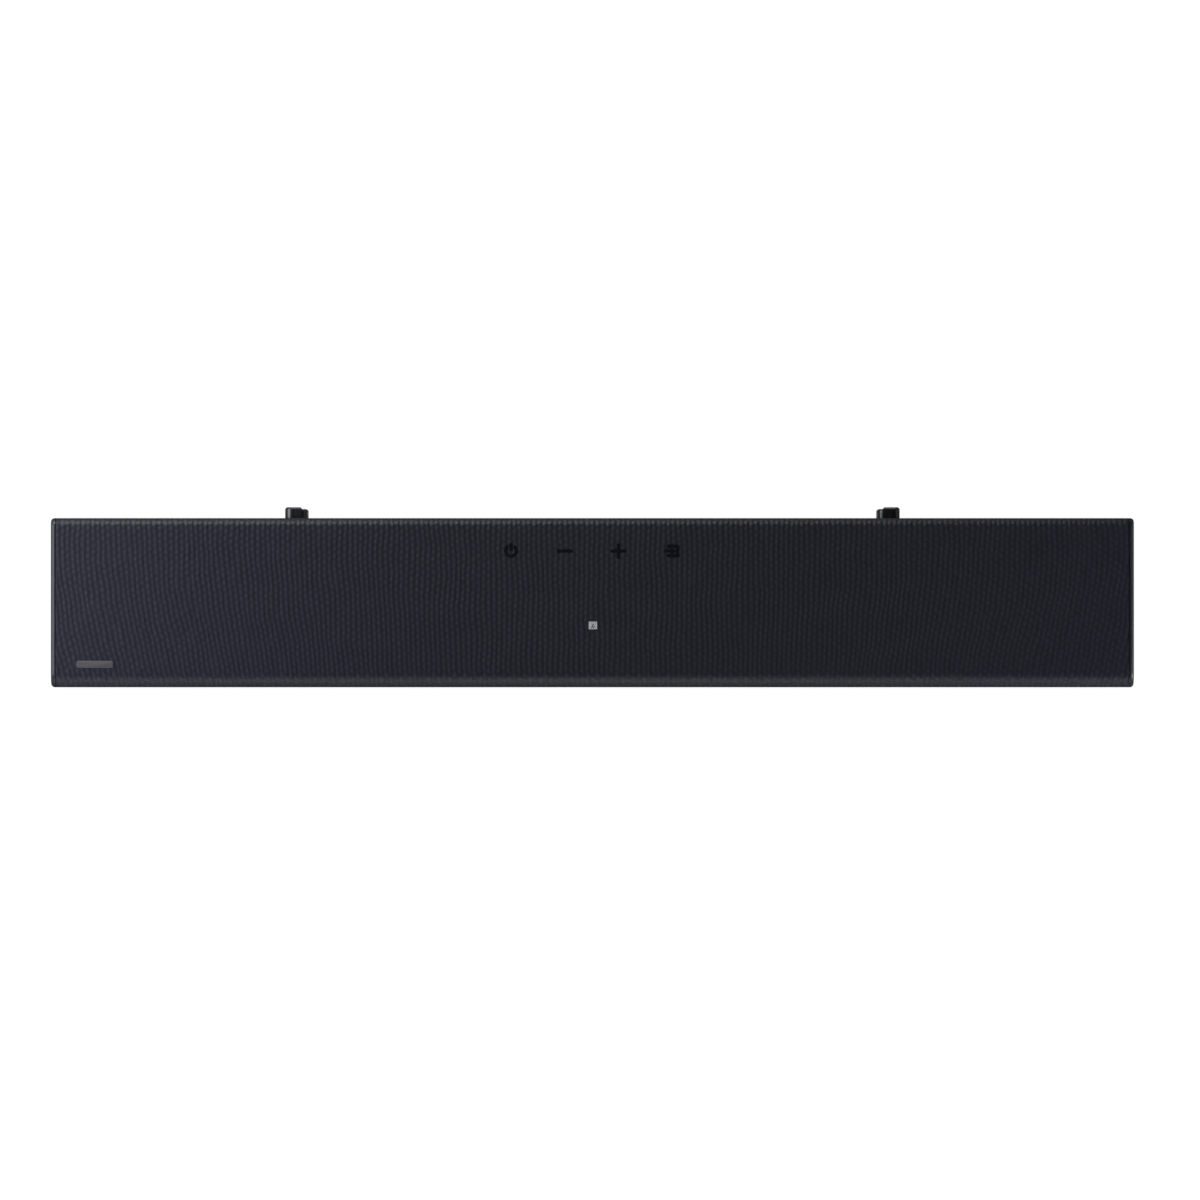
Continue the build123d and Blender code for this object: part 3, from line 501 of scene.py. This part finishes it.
def cloth_path():
    """Points (y, z, normal y, normal z, distance) on the cloth's outside, from the rear over the top."""
    rear, front = CLOTH_HIGH.y, CLOTH_LOW.y
    top, low, start = CLOTH_HIGH.z, CLOTH_LOW.z, CLOTH_START_Z
    points = []

    def straight(a, b, normal, count):
        for i in range(count):
            t = i / count
            points.append((a[0] + (b[0] - a[0]) * t, a[1] + (b[1] - a[1]) * t, *normal))

    def corner(centre, radius, from_angle, to_angle, count):
        for i in range(count):
            angle = math.radians(from_angle + (to_angle - from_angle) * i / count)
            n = (math.cos(angle), math.sin(angle))
            points.append((centre[0] + radius * n[0], centre[1] + radius * n[1], *n))

    straight((rear, start), (rear, top - TOP_REAR_R), (1, 0), 3)
    corner((rear - TOP_REAR_R, top - TOP_REAR_R), TOP_REAR_R, 0, 90, 10)
    straight((rear - TOP_REAR_R, top), (front + TOP_FRONT_R, top), (0, 1), 24)
    corner((front + TOP_FRONT_R, top - TOP_FRONT_R), TOP_FRONT_R, 90, 180, 14)
    straight((front, top - TOP_FRONT_R), (front, low), (-1, 0), 12)
    points.append((front, low, -1, 0))
    out, run = [], 0.0
    for i, p in enumerate(points):
        if i:
            run += math.dist(p[:2], points[i - 1][:2])
        out.append((*p, run))
    return out


def cloth_rows():
    """The cloth's path with the closer points along its first and last edge."""
    path = cloth_path()
    first, last = path[0], path[-1]
    total = last[4]
    near = EDGE_STEPS[1:]
    rows = [first]
    rows += [(first[0], first[1] + d, first[2], first[3], d) for d in near]
    rows += [p for p in path if near[-1] < p[4] < total - near[-1]]
    rows += [(last[0], last[1] + d, last[2], last[3], total - d) for d in reversed(near)]
    return rows + [last]


def cloth_columns():
    """The X of every column of vertices."""
    width = CLOTH_HIGH.x - CLOTH_LOW.x
    count = round(width / COLUMN)
    columns = [CLOTH_LOW.x + d for d in EDGE_STEPS]
    columns += [CLOTH_LOW.x + width * (i + 2) / (count + 3) for i in range(count)]
    columns += [CLOTH_HIGH.x - d for d in reversed(EDGE_STEPS)]
    return columns


def tuck(distance):
    """How far the cloth has turned in, this near to its edge."""
    t = max(0.0, 1 - distance / TUCK)
    return TUCK_DEPTH * t * t


def make_cloth(material):
    """The cloth as one thin closed shell with its edges turned in, and its size when flat."""
    rows, xs = cloth_rows(), cloth_columns()
    total = rows[-1][4]
    bm = bmesh.new()
    uv = bm.loops.layers.uv.new("flat_cloth")

    def layer(inset):
        grid = []
        for y, z, ny, nz, run in rows:
            line = []
            for x in xs:
                ends = min(x - CLOTH_LOW.x, CLOTH_HIGH.x - x)
                down = max(tuck(ends), tuck(min(run, total - run))) + inset
                down = min(down, DEEPEST)
                line.append(bm.verts.new((x, y - ny * down, z - nz * down)))
            grid.append(line)
        return grid

    outer = layer(0.0)
    inner = layer(SHEET_T)

    def face(corners, coordinates):
        made = bm.faces.new(corners)
        for loop, place in zip(made.loops, coordinates):
            loop[uv].uv = place

    last_row, last_column = len(rows) - 1, len(xs) - 1
    for i in range(last_row):
        for j in range(last_column):
            a, b = rows[i][4], rows[i + 1][4]
            around = [(i, j), (i, j + 1), (i + 1, j + 1), (i + 1, j)]
            flat = [(xs[j], a), (xs[j + 1], a), (xs[j + 1], b), (xs[j], b)]
            face([outer[r][c] for r, c in around], flat)
            face([inner[r][c] for r, c in reversed(around)], flat[::-1])
    border = [(0, j) for j in range(last_column)]
    border += [(i, last_column) for i in range(last_row)]
    border += [(last_row, j) for j in range(last_column, 0, -1)]
    border += [(i, 0) for i in range(last_row, 0, -1)]
    for (r, c), (r2, c2) in zip(border, border[1:] + border[:1]):
        here, there = (xs[c], rows[r][4]), (xs[c2], rows[r2][4])
        face([outer[r2][c2], outer[r][c], inner[r][c], inner[r2][c2]], [there, here, here, there])
    bmesh.ops.recalc_face_normals(bm, faces=bm.faces)
    return new_piece("grille_cloth", bm, material), (CLOTH_HIGH.x - CLOTH_LOW.x, total)


# The cutter's prisms reach from above the cloth to below it
CUTTER_TOP = 2 * MM
CUTTER_LENGTH = 5 * MM


def symbol_cutter():
    """Prisms with the outline of each hole that the CAD cloth has for a key's symbol."""
    source = bmesh.new()
    source.from_mesh(NODES["grille_fabric"].data)
    bmesh.ops.remove_doubles(source, verts=source.verts, dist=0.001 * MM)
    top = CLOTH_HIGH.z - 0.01 * MM
    rims = []
    for edge in source.edges:
        if all(v.co.z > top for v in edge.verts) and len(edge.link_faces) == 2:
            flat = [abs(f.normal.z) > 0.9 for f in edge.link_faces]
            upright = [abs(f.normal.z) < 0.1 for f in edge.link_faces]
            if any(flat) and any(upright):
                rims.append(edge)
    cutter = bmesh.new()
    copies = {}
    for edge in rims:
        for v in edge.verts:
            if v not in copies:
                copies[v] = cutter.verts.new((v.co.x, v.co.y, CLOTH_HIGH.z + CUTTER_TOP))
        cutter.edges.new([copies[v] for v in edge.verts])
    filled = bmesh.ops.triangle_fill(cutter, use_beauty=True, edges=cutter.edges)
    faces = [f for f in filled["geom"] if isinstance(f, bmesh.types.BMFace)]
    grown = bmesh.ops.extrude_face_region(cutter, geom=faces)
    lower = [v for v in grown["geom"] if isinstance(v, bmesh.types.BMVert)]
    bmesh.ops.translate(cutter, verts=lower, vec=(0, 0, -CUTTER_LENGTH))
    bmesh.ops.recalc_face_normals(cutter, faces=cutter.faces)
    source.free()
    mesh = bpy.data.meshes.new("symbol_cutter")
    cutter.to_mesh(mesh)
    cutter.free()
    made = bpy.data.objects.new("symbol_cutter", mesh)
    bpy.context.scene.collection.objects.link(made)
    return made


def cut(piece, cutter):
    """Takes the cutter out of the piece's mesh, and deletes the cutter."""
    modifier = piece.modifiers.new("cut", "BOOLEAN")
    modifier.operation, modifier.solver, modifier.object = "DIFFERENCE", "EXACT", cutter
    bpy.context.view_layer.update()
    depsgraph = bpy.context.evaluated_depsgraph_get()
    mesh = bpy.data.meshes.new_from_object(piece.evaluated_get(depsgraph))
    piece.modifiers.clear()
    mesh.set_sharp_from_angle(angle=math.radians(35))
    piece.data = mesh
    bpy.data.objects.remove(cutter)


# The lit patch of cloth: its size, its grid of threads, and the cells of the grid that stay dark
PATCH_X, PATCH_Y = 5.0 * MM, 4.6 * MM
PATCH_COLUMNS, PATCH_ROWS = 8, 7
DARK_CELLS = {(3, 2), (3, 3), (4, 4), (5, 2), (4, 1), (2, 1)}
# How deep a thread's foot lies in the cloth, and the heights of its shoulder and its crown over that
FOOT_DEPTH = 0.06 * MM
SHOULDER = Vector((0, 0, 0.12 * MM))
CROWN = Vector((0, 0, 0.15 * MM))
SIDES = 12


def lit_thread(bm, centre, half_x, half_y):
    """One short thread as a low, rounded, squarish bead."""
    offsets = []
    for k in range(SIDES):
        angle = 2 * math.pi * k / SIDES
        across, up = math.cos(angle), math.sin(angle)
        squarish = 1 / max(abs(across), abs(up)) ** 0.7
        offsets.append(Vector((half_x * squarish * across, half_y * squarish * up, 0)))
    foot = [bm.verts.new(centre + offset) for offset in offsets]
    shoulder = [bm.verts.new(centre + offset * 0.7 + SHOULDER) for offset in offsets]
    crown = bm.verts.new(centre + CROWN)
    for k in range(SIDES):
        n = (k + 1) % SIDES
        bm.faces.new((foot[k], foot[n], shoulder[n], shoulder[k]))
        bm.faces.new((shoulder[k], shoulder[n], crown))
    bm.faces.new(foot[::-1])


def make_lamp_patch(material):
    """The square of cloth that the lamp lights: short raised threads with dark gaps between them."""
    lamp = (LAMP_LOW + LAMP_HIGH) / 2
    low = Vector((lamp.x - PATCH_X / 2, lamp.y - PATCH_Y / 2, CLOTH_HIGH.z - FOOT_DEPTH))
    cell_x, cell_y = PATCH_X / PATCH_COLUMNS, PATCH_Y / PATCH_ROWS
    bm = bmesh.new()
    for i in range(PATCH_COLUMNS):
        for j in range(PATCH_ROWS):
            if (i, j) in DARK_CELLS:
                continue
            upright = (i + j) % 2
            half_x = cell_x * (0.40 if upright else 0.52)
            half_y = cell_y * (0.55 if upright else 0.40)
            centre = low + Vector((cell_x * (i + 0.5), cell_y * (j + 0.5), 0))
            lit_thread(bm, centre, half_x, half_y)
    return new_piece("status_glow", bm, material)


# ---------------------------------------------------------------- build

make_camera()
make_world()
MATERIALS = make_materials()
for row in frame["record"]["subparts"]:
    dress(row["node"], MATERIALS[row["material_slot"]])

cloth, cloth_size = make_cloth(MATERIALS["cloth"])
cut(cloth, symbol_cutter())
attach(cloth, "cabinet")
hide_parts("grille_fabric")

glow = make_lamp_patch(lit_threads())
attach(glow, "cabinet")

make_lamps(make_floor())
bpy.context.scene.view_settings.view_transform = "Standard"
